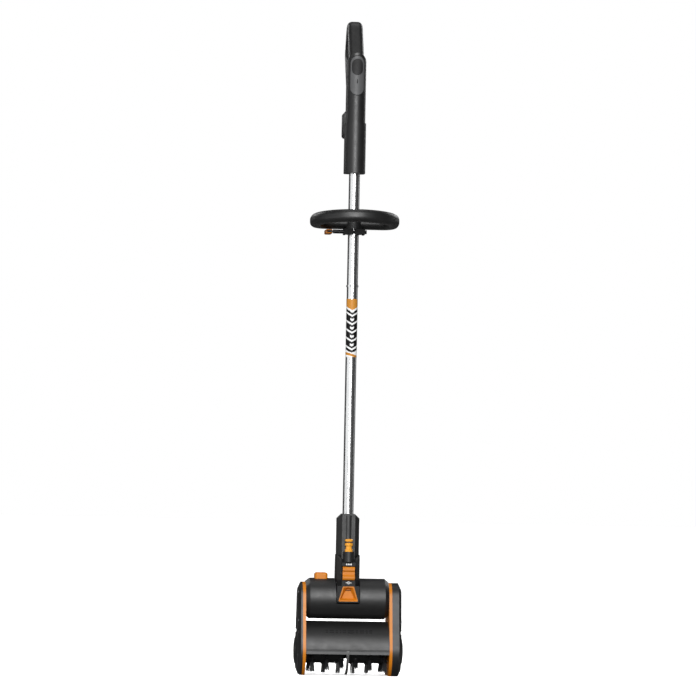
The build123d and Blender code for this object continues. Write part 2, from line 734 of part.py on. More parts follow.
# ---------------------------------------------------------------- tube
def tube(r_out, r_in, low, high):
    """A plain round tube on the machine's own axis."""
    with BuildPart() as pipe:
        with BuildSketch(Plane.XY.offset(low)) as ring:
            Circle(r_out)
            Circle(r_in, mode=Mode.SUBTRACT)
        extrude(ring.sketch, amount=high - low)
    return pipe.part


BORE_R = TUBE_R - TUBE_WALL

with BuildPart() as lower_tube:
    add(tube(TUBE_R, BORE_R, TUBE_LOW, TUBE_JOIN))
lower_tube.part.label = "lower_tube"
export_step(lower_tube.part, "parts/lower_tube.step")

with BuildPart() as upper_tube:
    add(tube(TUBE_R, BORE_R, TUBE_JOIN, TUBE_HIGH))
upper_tube.part.label = "upper_tube"
export_step(upper_tube.part, "parts/upper_tube.step")

with BuildPart() as tube_coupler:
    add(tube(BORE_R, BORE_R - 1.2, TUBE_JOIN - 40, TUBE_JOIN + 40))
tube_coupler.part.label = "tube_coupler"
export_step(tube_coupler.part, "parts/tube_coupler.step")

with BuildPart() as joint_ring:
    add(tube(TUBE_R + 1.2, TUBE_R, TUBE_JOIN - 1.8, TUBE_JOIN + 1.8))
joint_ring.part.label = "joint_ring"
export_step(joint_ring.part, "parts/joint_ring.step")

with BuildPart() as tube_wrap:
    add(tube(TUBE_R + 0.3, TUBE_R, WRAP_Z[0], WRAP_Z[1]))
tube_wrap.part.label = "tube_wrap"
export_step(tube_wrap.part, "parts/tube_wrap.step")

with BuildPart() as motor_lead:
    z_rod(0, 0, 2.5, (192, TUBE_HIGH + 10))
motor_lead.part.label = "motor_lead"
export_step(motor_lead.part, "parts/motor_lead.step")


# ---------------------------------------------------------------- auxiliary handle
AUX_PLANE = Plane(
    origin=(0, 0, AUX_Z),
    x_dir=(1, 0, 0),
    z_dir=(0, sin(radians(AUX_TILT)), cos(radians(AUX_TILT))),
)
BOLT_Y = LEVER_XY[1]
BOLT_Z = (LEVER_Z[0] + LEVER_Z[1]) / 2
CLAMP_TOP = AUX_Z - AUX_T / 2



def bow(front_r, corner_x, corner_y, corner_r):
    """Plan of the loop: a half round in front and two rounded corners behind."""
    with Locations((0, AUX_ARC_Y)):
        Circle(front_r)
        Rectangle(3 * front_r, 2 * front_r, align=(Align.CENTER, Align.MIN), mode=Mode.SUBTRACT)
    hull_of([(-corner_x, corner_y, corner_r), (corner_x, corner_y, corner_r)])


with BuildPart() as aux_loop:
    with BuildSketch(AUX_PLANE.offset(-AUX_T / 2)):
        bow(AUX_R, 57, -19, 32)
        with BuildSketch(mode=Mode.SUBTRACT):
            bow(AUX_R - AUX_BAR, 48, -28, 15)
    extrude(amount=AUX_T)
    rim = aux_loop.edges().filter_by(lambda e: abs(e.tangent_at(0.5).dot(AUX_PLANE.z_dir)) < 0.01)
    fillet(rim, radius=10)
    z_rod(0, 0, 19, (CLAMP_TOP, AUX_Z + AUX_T / 2 - 1))
    z_rod(0, 0, TUBE_R + RUN_GAP, (CLAMP_TOP - 5, AUX_Z + AUX_T), mode=Mode.SUBTRACT)
    block((-22, 22), (-25, 18), (CLAMP_TOP - 20, CLAMP_TOP), mode=Mode.SUBTRACT)
aux_loop.part.label = "aux_loop"
export_step(aux_loop.part, "parts/aux_loop.step")

with BuildPart() as aux_clamp:
    z_rod(0, 0, 17, (LEVER_Z[0], CLAMP_TOP))
    block((-21, 21), (-25, -9), (LEVER_Z[0], CLAMP_TOP))
    for x in (-21, 17):
        block((x, x + 4), (-25, 3), (878, CLAMP_TOP))
        block((min(x, 9), max(x + 4, -9)), (-3, 3), (LEVER_Z[0], CLAMP_TOP))
    z_rod(0, 0, TUBE_R + RUN_GAP, (870, AUX_Z), mode=Mode.SUBTRACT)
    block((-1.5, 1.5), (-30, -8), (870, CLAMP_TOP + 1), mode=Mode.SUBTRACT)
    x_rod(BOLT_Y, BOLT_Z, 2.6, (-30, 30), mode=Mode.SUBTRACT)
aux_clamp.part.label = "aux_clamp"
export_step(aux_clamp.part, "parts/aux_clamp.step")

with BuildPart() as aux_bolt:
    x_rod(BOLT_Y, BOLT_Z, 2.5, (-25, 21))
    x_rod(BOLT_Y, BOLT_Z, 4, (LEVER_XY[0] + 7.5, -21))
    with BuildSketch(Plane.YZ.offset(21)):
        with Locations((BOLT_Y, BOLT_Z)):
            RegularPolygon(4.4, 6)
    extrude(amount=4)
    block((LEVER_XY[0], LEVER_XY[0] + 8), (BOLT_Y - 3, BOLT_Y + 3), (BOLT_Z - 1.8, BOLT_Z + 1.8))
    z_rod(LEVER_XY[0], BOLT_Y, 3.4, (BOLT_Z - 1.8, BOLT_Z + 1.8))
    z_rod(LEVER_XY[0], BOLT_Y, 1.5, (LEVER_Z[0], LEVER_Z[1]))
aux_bolt.part.label = "aux_bolt"
export_step(aux_bolt.part, "parts/aux_bolt.step")

with BuildPart() as aux_lever:
    with BuildSketch(Plane.XY.offset(LEVER_Z[0])):
        hull_of([(LEVER_XY[0], LEVER_XY[1], 6.6), (LEVER_XY[0], 18, 7)])
    extrude(amount=LEVER_Z[1] - LEVER_Z[0])
    fillet(aux_lever.edges().group_by(Axis.Z)[0] + aux_lever.edges().group_by(Axis.Z)[-1], radius=2)
    z_rod(LEVER_XY[0], LEVER_XY[1], 1.5 + RUN_GAP, (870, 900), mode=Mode.SUBTRACT)
    block((-70, LEVER_XY[0] + 12), (-40, BOLT_Y + 8), (BOLT_Z - 2.1, BOLT_Z + 2.1), mode=Mode.SUBTRACT)
aux_lever.part.label = "aux_lever"
export_step(aux_lever.part, "parts/aux_lever.step")


# ---------------------------------------------------------------- top handle
GRIP_SCREWS = [(41, 1281), (94, 1262), (44, 1158)]
REAR_ARM = Plane(origin=(0, 40.6, 1185.5), x_dir=(0, 0.564, 0.825), z_dir=(1, 0, 0))


def handle_section(grow=0):
    """Level section of the handle's body: round in front, squared behind."""
    r = 8
    corner_x, corner_y = HANDLE_R - r, HANDLE_REAR - r
    front = (0, ROUND_C, HANDLE_R + grow)
    hull_of([front, (corner_x, corner_y, r + grow), (-corner_x, corner_y, r + grow)])


def loop_outline(grow=0):
    """Side view of the D-shaped grip's outside."""
    hull_of([(60, 1288, 26 + grow), (82, 1250, 26 + grow), (26, 1150, 18 + grow), (8, 1222, 16 + grow)])


def loop_opening(grow=0):
    """Side view of the finger hole."""
    hull_of([(35, 1222, 8 + grow), (61, 1275, 11 + grow), (75, 1250, 9 + grow), (34, 1190, 8 + grow)])


def arch():
    """Front view of the body: straight sides and a round head."""
    with Locations((0, HANDLE_TOP - HANDLE_R)):
        Rectangle(80, 400, align=(Align.CENTER, Align.MAX))
        Circle(HANDLE_R)


def handle_solid(grow=0, low=HANDLE_Z, high=HANDLE_TOP, step=1.8):
    """The body without its loop, slightly wider below the step."""
    with BuildPart() as body:
        with BuildSketch(Plane.XY.offset(low)) as foot:
            handle_section(grow + step)
        extrude(foot.sketch, amount=HANDLE_STEP - low)
        with BuildSketch(Plane.XY.offset(HANDLE_STEP)) as neck:
            handle_section(grow)
        extrude(neck.sketch, amount=high - HANDLE_STEP)
        with BuildSketch(Plane.XZ.offset(-60)) as front:
            arch()
        extrude(front.sketch, amount=120, mode=Mode.INTERSECT)
    return body.part


def grip_loop():
    """The D-shaped loop, rounded all along its edges."""
    with BuildPart() as loop:
        with BuildSketch(Plane.YZ.offset(-GRIP_X)) as side:
            loop_outline()
            with BuildSketch(mode=Mode.SUBTRACT):
                loop_opening()
        extrude(side.sketch, amount=2 * GRIP_X)
        fillet(loop.edges().filter_by(lambda e: abs(e.tangent_at(0.5).X) < 0.01), radius=10)
    return loop.part


def handle_blank():
    """Body and loop in one, hollow, before it is cut into its shells."""
    with BuildPart() as blank:
        add(handle_solid())
        add(grip_loop())
        with BuildSketch(Plane.YZ.offset(-10)) as core:
            loop_outline(-3.2)
            with BuildSketch(mode=Mode.SUBTRACT):
                loop_opening(3.2)
        extrude(core.sketch, amount=20, mode=Mode.SUBTRACT)
        for y, z in GRIP_SCREWS:
            x_rod(y, z, 4, (-11, 11))
        add(handle_solid(-HANDLE_WALL, HANDLE_Z + 4, HANDLE_TOP - 14), mode=Mode.SUBTRACT)
        for low in (1018, 1048):
            with BuildSketch(Plane.XY.offset(low)) as rib:
                handle_section(-1)
            extrude(rib.sketch, amount=4)
        z_rod(0, 0, TUBE_R, (HANDLE_Z - 1, TUBE_HIGH), mode=Mode.SUBTRACT)
        for y, z in GRIP_SCREWS:
            x_rod(y, z, 1.6, (-GRIP_X - 1, 9), mode=Mode.SUBTRACT)
            x_rod(y, z, 3.2, (-GRIP_X - 1, -GRIP_X + 2.5), mode=Mode.SUBTRACT)
    return blank.part


def grip_pad_solid(grow, sink):
    """Soft strip along the rear of the rear arm."""
    with BuildPart() as pad:
        with BuildSketch(Plane.YZ.offset(-11)) as band:
            loop_outline(grow)
            with BuildSketch(mode=Mode.SUBTRACT):
                loop_outline(-sink)
        extrude(band.sketch, amount=22)
        with BuildSketch(REAR_ARM) as region:
            with Locations((2, -14)):
                Rectangle(72, 40, align=(Align.MIN, Align.MAX))
        extrude(region.sketch, amount=30, both=True, mode=Mode.INTERSECT)
    return pad.part


HANDLE = handle_blank()
PAD_SEAT = grip_pad_solid(2, 1.6)


def rear_shell(keep):
    """One half of the handle behind the front cover."""
    with BuildPart() as shell:
        add(HANDLE)
        split(bisect_by=Plane.XZ, keep=Keep.BOTTOM)
        block((-14.6, 14.6), (HANDLE_REAR - 6, HANDLE_REAR + 2), (1079.6, 1120.4), mode=Mode.SUBTRACT)
        with BuildSketch(REAR_ARM) as slot:
            with Locations((6, 1)):
                Rectangle(66, 15, align=(Align.MIN, Align.MAX))
        extrude(slot.sketch, amount=7.4, both=True, mode=Mode.SUBTRACT)
        with BuildSketch(REAR_ARM.offset(-12)) as pivot:
            with Locations((66, -5)):
                Circle(1.5 + RUN_GAP)
        extrude(pivot.sketch, amount=24, mode=Mode.SUBTRACT)
        add(PAD_SEAT, mode=Mode.SUBTRACT)
        split(bisect_by=Plane.YZ, keep=keep)
    return shell.part


with BuildPart() as handle_left_shell:
    add(rear_shell(Keep.BOTTOM))
handle_left_shell.part.label = "handle_left_shell"
export_step(handle_left_shell.part, "parts/handle_left_shell.step")

with BuildPart() as handle_right_shell:
    add(rear_shell(Keep.TOP))
handle_right_shell.part.label = "handle_right_shell"
export_step(handle_right_shell.part, "parts/handle_right_shell.step")


def obround(width, span):
    """Front view of an upright slot between two heights."""
    with Locations((0, sum(span) / 2)):
        SlotOverall(span[1] - span[0], width, rotation=90)


BUTTON_GAP = 0.4


def front_skin(grow, sink, holed=True):
    """Curved plate that follows the body's front, outlined by the control panel."""
    with BuildPart() as skin:
        with BuildSketch(Plane.XZ.offset(5)) as outline:
            obround(27, PANEL_Z)
            if holed:
                with BuildSketch(mode=Mode.SUBTRACT):
                    obround(21 + 2 * BUTTON_GAP, (BUTTON_Z[0] - BUTTON_GAP, BUTTON_Z[1] + BUTTON_GAP))
        extrude(outline.sketch, amount=30)
        add(handle_solid(grow, high=HANDLE_TOP + 5), mode=Mode.INTERSECT)
        add(handle_solid(-sink, high=HANDLE_TOP + 5), mode=Mode.SUBTRACT)
    return skin.part


with BuildPart() as handle_front_cover:
    add(HANDLE)
    split(bisect_by=Plane.XZ, keep=Keep.TOP)
    add(front_skin(3, 1.2, holed=False), mode=Mode.SUBTRACT)
    with BuildSketch(Plane.XZ.offset(5)):
        obround(21 + 2 * BUTTON_GAP, (BUTTON_Z[0] - BUTTON_GAP, BUTTON_Z[1] + BUTTON_GAP))
    extrude(amount=30, mode=Mode.SUBTRACT)
handle_front_cover.part.label = "handle_front_cover"
export_step(handle_front_cover.part, "parts/handle_front_cover.step")

with BuildPart() as control_panel:
    add(front_skin(0.6, 1.2))
control_panel.part.label = "control_panel"
export_step(control_panel.part, "parts/control_panel.step")

with BuildPart() as power_button:
    with BuildSketch(Plane.XZ.offset(17.5)):
        obround(21, BUTTON_Z)
    extrude(amount=10)
    add(handle_solid(1.4, high=HANDLE_TOP + 5), mode=Mode.INTERSECT)
    with BuildSketch(Plane.XZ.offset(11)):
        with Locations((0, sum(BUTTON_Z) / 2)):
            Circle(4)
    extrude(amount=6.5)
power_button.part.label = "power_button"
export_step(power_button.part, "parts/power_button.step")

with BuildPart() as switch_module:
    block((-11, 11), (-8, 10), (1194, 1222))
switch_module.part.label = "switch_module"
export_step(switch_module.part, "parts/switch_module.step")

with BuildPart() as terminal_block:
    block((-12, 12), (-9, -1.5), (1082, 1118))
terminal_block.part.label = "terminal_block"
export_step(terminal_block.part, "parts/terminal_block.step")

with BuildPart() as grip_pad:
    add(grip_pad_solid(0.5, 1.6))
grip_pad.part.label = "grip_pad"
export_step(grip_pad.part, "parts/grip_pad.step")

with BuildPart() as trigger:
    with BuildSketch(REAR_ARM.offset(-7)):
        Polygon((8, -7), (8, 4), (14, 7.5), (54, 7.5), (63, 2), (70, 0), (70, -9), (60, -9), align=None)
    extrude(amount=14)
    fillet(trigger.edges().filter_by(Axis.X).sort_by(Axis.Y)[:3], radius=2)
    with BuildSketch(REAR_ARM.offset(-11.5)):
        with Locations((66, -5)):
            Circle(1.5)
    extrude(amount=23)
trigger.part.label = "trigger"
export_step(trigger.part, "parts/trigger.step")

with BuildPart() as shell_screws:
    for x, z in SOCKET_SCREWS:
        with Locations(Location((x, SOCKET_Y - 0.2, z), (90, 0, 0))):
            Cylinder(3, 2, align=UPRIGHT)
            Cylinder(1.5, 33, align=UPRIGHT)
    for y, z in GRIP_SCREWS:
        x_rod(y, z, 3, (-GRIP_X + 0.5, -GRIP_X + 2.5))
        x_rod(y, z, 1.5, (-GRIP_X + 2.5, 8))
shell_screws.part.label = "shell_screws"
export_step(shell_screws.part, "parts/shell_screws.step")


# ---------------------------------------------------------------- battery
CELL_R = 9.15
CASE_WALL = 1.3
LATCH_Y = (56, 74)

with BuildPart() as battery_case:
    block((-BATTERY_X, BATTERY_X), BATTERY_Y, BATTERY_Z)
    fillet(battery_case.edges().filter_by(Axis.Y), radius=6)
    fillet(battery_case.faces().sort_by(Axis.Y)[-1].edges(), radius=3)
    block((-14, 14), (-1, BATTERY_Y[0]), (1080, 1120))
    block(
        (-BATTERY_X + CASE_WALL, BATTERY_X - CASE_WALL),
        (BATTERY_Y[0] + 2.5, BATTERY_Y[1] - 2.5),
        (BATTERY_Z[0] + 2.5, BATTERY_Z[1] - 2.5),
        mode=Mode.SUBTRACT,
    )
    block((-11.5, 11.5), (1.5, BATTERY_Y[0] + 3), (1082.5, 1117.5), mode=Mode.SUBTRACT)
    block((-8.4, 8.4), (LATCH_Y[0] - 0.4, LATCH_Y[1] + 0.4), (1119, 1134), mode=Mode.SUBTRACT)
battery_case.part.label = "battery_case"
export_step(battery_case.part, "parts/battery_case.step")

with BuildPart() as battery_cells:
    cell_z = BATTERY_Z[0] + 2.8 + CELL_R
    for x, z in ((-9.3, cell_z), (9.3, cell_z), (0, cell_z + 16.3)):
        with BuildSketch(Plane.XZ.offset(-BATTERY_Y[1] + 3)) as end:
            with Locations((x, z)):
                Circle(CELL_R)
        extrude(amount=64)
battery_cells.part.label = "battery_cells"
export_step(battery_cells.part, "parts/battery_cells.step")

with BuildPart() as battery_latch:
    block((-8, 8), LATCH_Y, (BATTERY_Z[1] - 4, BATTERY_Z[1] + 2))
    fillet(battery_latch.edges().group_by(Axis.Z)[-1], radius=1.5)
    block((-10, 10), (LATCH_Y[0] - 2, LATCH_Y[1] + 2), (BATTERY_Z[1] - 5, BATTERY_Z[1] - 3))
battery_latch.part.label = "battery_latch"
export_step(battery_latch.part, "parts/battery_latch.step")
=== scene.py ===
"""Looks for a cordless roller brush cleaner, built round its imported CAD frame. Metres, Z up, front is -Y."""
import json
import math
import random

import bmesh
import bpy
from mathutils import Matrix, Vector


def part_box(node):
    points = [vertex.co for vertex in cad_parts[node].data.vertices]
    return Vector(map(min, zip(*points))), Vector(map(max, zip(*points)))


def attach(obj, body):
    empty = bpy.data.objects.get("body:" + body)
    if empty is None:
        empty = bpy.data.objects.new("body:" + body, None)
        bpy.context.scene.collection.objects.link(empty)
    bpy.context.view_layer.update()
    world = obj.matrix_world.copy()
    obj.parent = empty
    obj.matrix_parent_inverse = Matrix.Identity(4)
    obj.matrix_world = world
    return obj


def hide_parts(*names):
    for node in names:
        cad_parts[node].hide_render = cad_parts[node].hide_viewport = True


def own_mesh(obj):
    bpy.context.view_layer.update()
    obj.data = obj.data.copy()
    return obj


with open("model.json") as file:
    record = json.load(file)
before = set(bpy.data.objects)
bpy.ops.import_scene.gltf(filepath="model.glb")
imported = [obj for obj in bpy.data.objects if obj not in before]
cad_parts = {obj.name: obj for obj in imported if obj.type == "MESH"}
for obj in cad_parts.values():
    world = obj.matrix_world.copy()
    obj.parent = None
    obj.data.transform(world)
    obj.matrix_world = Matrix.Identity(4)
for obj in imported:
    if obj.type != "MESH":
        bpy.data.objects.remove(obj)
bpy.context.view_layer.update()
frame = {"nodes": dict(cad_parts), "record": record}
NODES = frame["nodes"]
SLOT_OF = {s["node"]: s["material_slot"] for s in frame["record"]["subparts"]}
random.seed(11)

MM = 0.001


# ---------------------------------------------------------------- materials
def new_material(name):
    """A material with only its Principled shader, and its node tree."""
    m = bpy.data.materials.new(name)
    m.use_nodes = True
    tree = m.node_tree
    shader = tree.nodes["Principled BSDF"]
    return m, tree, shader


def add_node(tree, kind, **values):
    """A node with its properties and its unlinked inputs set."""
    node = tree.nodes.new(kind)
    for key, value in values.items():
        if hasattr(node, key):
            setattr(node, key, value)
        else:
            node.inputs[key.replace("_", " ")].default_value = value
    return node


def object_coords(tree, stretch=(1, 1, 1)):
    """Coordinates in metres on the piece itself, optionally stretched."""
    coords = add_node(tree, "ShaderNodeTexCoord")
    mapping = add_node(tree, "ShaderNodeMapping")
    mapping.inputs["Scale"].default_value = stretch
    tree.links.new(coords.outputs["Object"], mapping.inputs["Vector"])
    return mapping.outputs["Vector"]


def noise(tree, vector, scale, detail=3.0, rough=0.55):
    """Noise from 0 to 1, most of it between 0.3 and 0.7."""
    node = add_node(tree, "ShaderNodeTexNoise")
    node.inputs["Scale"].default_value = scale
    node.inputs["Detail"].default_value = detail
    node.inputs["Roughness"].default_value = rough
    tree.links.new(vector, node.inputs["Vector"])
    return node.outputs["Fac"]


def ramp(tree, value, stops):
    """A colour ramp from (position, colour) stops."""
    node = add_node(tree, "ShaderNodeValToRGB")
    elements = node.color_ramp.elements
    while len(elements) < len(stops):
        elements.new(0.5)
    for element, (position, colour) in zip(elements, stops):
        element.position = position
        element.color = (*colour, 1)
    tree.links.new(value, node.inputs["Fac"])
    return node.outputs["Color"]


def to_range(tree, value, low, high, from_low=0.3, from_high=0.7):
    """Spreads a noise value over a range."""
    node = add_node(tree, "ShaderNodeMapRange")
    node.inputs["From Min"].default_value = from_low
    node.inputs["From Max"].default_value = from_high
    node.inputs["To Min"].default_value = low
    node.inputs["To Max"].default_value = high
    tree.links.new(value, node.inputs["Value"])
    return node.outputs["Result"]


def bump(tree, height, strength, distance, under=None):
    """A bumped normal, laid over another one if it is given; the distance is in metres."""
    node = add_node(tree, "ShaderNodeBump")
    node.inputs["Strength"].default_value = strength
    node.inputs["Distance"].default_value = distance
    tree.links.new(height, node.inputs["Height"])
    if under is not None:
        tree.links.new(under, node.inputs["Normal"])
    return node.outputs["Normal"]


def scaled(colour, k):
    """A colour made darker or lighter."""
    return tuple(min(1, c * k) for c in colour)


def plastic(name, colour, rough=0.42, grain=0.35, spread=0.12, specular=0.5):
    """Moulded plastic: spark-eroded grain, slow colour drift and faint handling marks in the gloss."""
    m, tree, shader = new_material(name)
    where = object_coords(tree)
    drift = noise(tree, where, 22, 4)
    tone = ramp(tree, drift, [(0.3, scaled(colour, 1 - spread)), (0.7, scaled(colour, 1 + spread))])
    tree.links.new(tone, shader.inputs["Base Color"])
    handling = noise(tree, where, 75, 5, 0.65)
    tree.links.new(to_range(tree, handling, rough - 0.05, rough + 0.07), shader.inputs["Roughness"])
    pits = noise(tree, where, 2600, 2, 0.5)
    waves = noise(tree, where, 180, 2, 0.4)
    under = bump(tree, waves, 0.06, 0.0006)
    tree.links.new(bump(tree, pits, grain, 0.00012, under), shader.inputs["Normal"])
    shader.inputs["Specular IOR Level"].default_value = specular
    return m


def metal(name, colour, rough, stretch, lines=0.25):
    """Metal with fine lines along the direction it was drawn or brushed."""
    m, tree, shader = new_material(name)
    where = object_coords(tree, stretch)
    fine = noise(tree, where, 1400, 3, 0.6)
    clouds = noise(tree, object_coords(tree), 30, 4)
    tone = ramp(tree, clouds, [(0.3, scaled(colour, 0.94)), (0.7, scaled(colour, 1.03))])
    tree.links.new(tone, shader.inputs["Base Color"])
    tree.links.new(to_range(tree, fine, rough - 0.05, rough + 0.07), shader.inputs["Roughness"])
    tree.links.new(bump(tree, fine, lines, 0.00004), shader.inputs["Normal"])
    shader.inputs["Metallic"].default_value = 1.0
    return m


def rubber(name, colour):
    """Soft matte rubber with a fine texture and a little bloom."""
    m, tree, shader = new_material(name)
    where = object_coords(tree)
    bloom = noise(tree, where, 60, 5, 0.6)
    tone = ramp(tree, bloom, [(0.35, colour), (0.75, scaled(colour, 1.6))])
    tree.links.new(tone, shader.inputs["Base Color"])
    tree.links.new(to_range(tree, bloom, 0.6, 0.75), shader.inputs["Roughness"])
    tree.links.new(bump(tree, noise(tree, where, 3200, 2), 0.4, 0.0001), shader.inputs["Normal"])
    shader.inputs["Sheen Weight"].default_value = 0.15
    return m


def bristle_material():
    """Stiff nylon: near black, with slightly paler streaks."""
    m, tree, shader = new_material("bristle_nylon")
    where = object_coords(tree)
    streak = noise(tree, where, 900, 2)
    tone = ramp(tree, streak, [(0.3, (0.006, 0.006, 0.007)), (0.75, (0.022, 0.022, 0.024))])
    tree.links.new(tone, shader.inputs["Base Color"])
    tree.links.new(to_range(tree, streak, 0.38, 0.55), shader.inputs["Roughness"])
    tree.links.new(bump(tree, streak, 0.3, 0.0001), shader.inputs["Normal"])
    return m


def math_node(tree, operation, a, b=0.0, c=0.0):
    """One arithmetic step on sockets or plain numbers."""
    node = add_node(tree, "ShaderNodeMath", operation=operation)
    for socket, value in zip(node.inputs, (a, b, c)):
        if isinstance(value, (int, float)):
            socket.default_value = value
        else:
            tree.links.new(value, socket)
    return node.outputs["Value"]


def frame_axes(tree):
    """X, Y and Z on the piece in metres: CAD nodes keep the frame's own coordinates."""
    split = add_node(tree, "ShaderNodeSeparateXYZ")
    tree.links.new(add_node(tree, "ShaderNodeTexCoord").outputs["Object"], split.inputs["Vector"])
    return split.outputs["X"], split.outputs["Y"], split.outputs["Z"]


def mix_colours(tree, factor, first, second):
    """The first colour where the factor is 0 and the second where it is 1; each is a tuple or a socket."""
    node = add_node(tree, "ShaderNodeMix", data_type="RGBA")
    tree.links.new(factor, node.inputs["Factor"])
    for name, value in (("A", first), ("B", second)):
        socket = next(i for i in node.inputs if i.name == name and i.type == "RGBA")
        if isinstance(value, tuple):
            socket.default_value = (*value, 1)
        else:
            tree.links.new(value, socket)
    return next(o for o in node.outputs if o.type == "RGBA")


def neck_material():
    """Grey grained flanks and a black, glossier middle round the valve and nozzle; below the tongue's top the
    flanks get the same black as painted shade.
    """
    middle_half, tongue_top = 0.0143, 0.190
    m, tree, shader = new_material("neck_two_tone_painted_shade")
    where = object_coords(tree)
    x, _, z = frame_axes(tree)
    middle = math_node(tree, "LESS_THAN", math_node(tree, "ABSOLUTE", x), middle_half)
    # Below the tongue's top the flanks are darkened to the middle's black: painted shade round the nozzle.
    low = math_node(tree, "LESS_THAN", z, tongue_top)
    dark = math_node(tree, "MAXIMUM", middle, low)
    drift = noise(tree, where, 30, 4)
    flank = ramp(tree, drift, [(0.3, (0.021, 0.0205, 0.020)), (0.7, (0.027, 0.0265, 0.026))])
    # The middle's black, also laid on the low flanks as painted shade.
    centre = ramp(tree, drift, [(0.3, (0.0045, 0.0045, 0.0048)), (0.7, (0.0065, 0.0065, 0.007))])
    tree.links.new(mix_colours(tree, dark, flank, centre), shader.inputs["Base Color"])
    handling = noise(tree, where, 80, 5, 0.65)
    gloss = math_node(tree, "MULTIPLY", dark, 0.1)
    rough = math_node(tree, "SUBTRACT", to_range(tree, handling, 0.42, 0.52), gloss)
    tree.links.new(rough, shader.inputs["Roughness"])
    tree.links.new(bump(tree, noise(tree, where, 2600, 2), 0.25, 0.0001), shader.inputs["Normal"])
    shader.inputs["Specular IOR Level"].default_value = 0.24
    return m


def decal_material():
    """Printed film: a colour band with a pointed lower edge over black chevrons on white."""
    m, tree, shader = new_material("decal_film_print")
    where = object_coords(tree)
    x, y, z = frame_axes(tree)
    low, high = (corner[2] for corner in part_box("tube_wrap"))
    row_height = 0.0168
    angle = math_node(tree, "ARCTAN2", x, math_node(tree, "MULTIPLY", y, -1.0))
    across = math_node(tree, "ABSOLUTE", angle)
    slant = math_node(tree, "MULTIPLY", across, 0.0062)

    def between(value, a, b):
        above = math_node(tree, "GREATER_THAN", value, a)
        return math_node(tree, "MULTIPLY", above, math_node(tree, "LESS_THAN", value, b))

    pointed = math_node(tree, "SUBTRACT", z, slant)
    top_band = math_node(tree, "GREATER_THAN", pointed, high - 0.0225)
    tilted = math_node(tree, "ADD", z, math_node(tree, "MULTIPLY", x, 0.3))
    foot_band = between(tilted, low + 0.0015, low + 0.0065)
    colour_area = math_node(tree, "MAXIMUM", top_band, foot_band)

    rows = math_node(tree, "DIVIDE", math_node(tree, "SUBTRACT", pointed, low), row_height)
    cell = math_node(tree, "FRACT", rows)
    inked = math_node(tree, "LESS_THAN", cell, 0.78)
    slot = math_node(tree, "MULTIPLY", math_node(tree, "LESS_THAN", across, 0.34), between(cell, 0.26, 0.52))
    inked = math_node(tree, "MULTIPLY", inked, math_node(tree, "SUBTRACT", 1.0, slot))
    inked = math_node(tree, "MULTIPLY", inked, math_node(tree, "LESS_THAN", across, 1.40))
    inked = math_node(tree, "MULTIPLY", inked, between(pointed, low + 0.0075, high - 0.0265))

    wear = noise(tree, where, 500, 4, 0.6)
    film = ramp(tree, wear, [(0.3, (0.80, 0.81, 0.81)), (0.7, (0.88, 0.88, 0.88))])
    ink = ramp(tree, wear, [(0.3, (0.003, 0.003, 0.003)), (0.7, (0.007, 0.007, 0.007))])
    band = ramp(tree, wear, [(0.3, (0.50, 0.21, 0.03)), (0.7, (0.58, 0.25, 0.04))])
    printed = mix_colours(tree, inked, film, ink)
    tree.links.new(mix_colours(tree, colour_area, printed, band), shader.inputs["Base Color"])
    tree.links.new(to_range(tree, wear, 0.36, 0.48), shader.inputs["Roughness"])
    tree.links.new(bump(tree, wear, 0.05, 0.00003), shader.inputs["Normal"])
    shader.inputs["Specular IOR Level"].default_value = 0.22
    return m


BLACK = (0.0085, 0.0086, 0.0088)
CHARCOAL = (0.0095, 0.0096, 0.0098)
ORANGE = (0.56, 0.178, 0.007)


def rocker_material():
    """The rocker's orange, with its pin black where it shows beside the rocker."""
    m = plastic("rocker_orange_black_pin", ORANGE, 0.36, 0.3, 0.06, 0.32)
    tree = m.node_tree
    base = tree.nodes["Principled BSDF"].inputs["Base Color"]
    x, _, _ = frame_axes(tree)
    rocker_half = 0.0122
    pin = math_node(tree, "GREATER_THAN", math_node(tree, "ABSOLUTE", x), rocker_half)
    tree.links.new(mix_colours(tree, pin, base.links[0].from_socket, BLACK), base)
    return m


MATERIALS = {
    "black_plastic": plastic("black_plastic_grain", BLACK, 0.44, 0.35, 0.12, 0.56),
    "charcoal_plastic": plastic("charcoal_plastic_grain", CHARCOAL, 0.45, 0.3, 0.12, 0.6),
    "orange_plastic": plastic("orange_plastic_grain", ORANGE, 0.36, 0.3, 0.06, 0.32),
    "amber_plastic": plastic("amber_plastic_gloss", (0.82, 0.36, 0.035), 0.16, 0.1, 0.08),
    "grey_plastic": plastic("grey_plastic_grain", (0.082, 0.083, 0.085), 0.52, 0.4, 0.12, 0.35),
    "button_black": plastic("button_soft_black", (0.012, 0.012, 0.0125), 0.62, 0.5, 0.12, 0.35),
    "pale_strip": plastic("pale_strip_plastic", (0.075, 0.076, 0.077), 0.4, 0.2),
    "rubber": rubber("black_rubber", (0.014, 0.014, 0.015)),
    "bristle": bristle_material(),
    "aluminium": metal("tube_aluminium", (0.86, 0.87, 0.875), 0.24, (1, 1, 0.02)),
    "cell_metal": metal("cell_sleeve_metal", (0.55, 0.56, 0.58), 0.3, (1, 0.05, 1)),
    "steel": metal("bright_steel", (0.70, 0.70, 0.70), 0.22, (0.05, 1, 1)),
    "dark_steel": metal("blackened_steel", (0.10, 0.10, 0.105), 0.38, (1, 1, 1)),
}
MATERIALS["decal_film"] = decal_material()
NECK = neck_material()
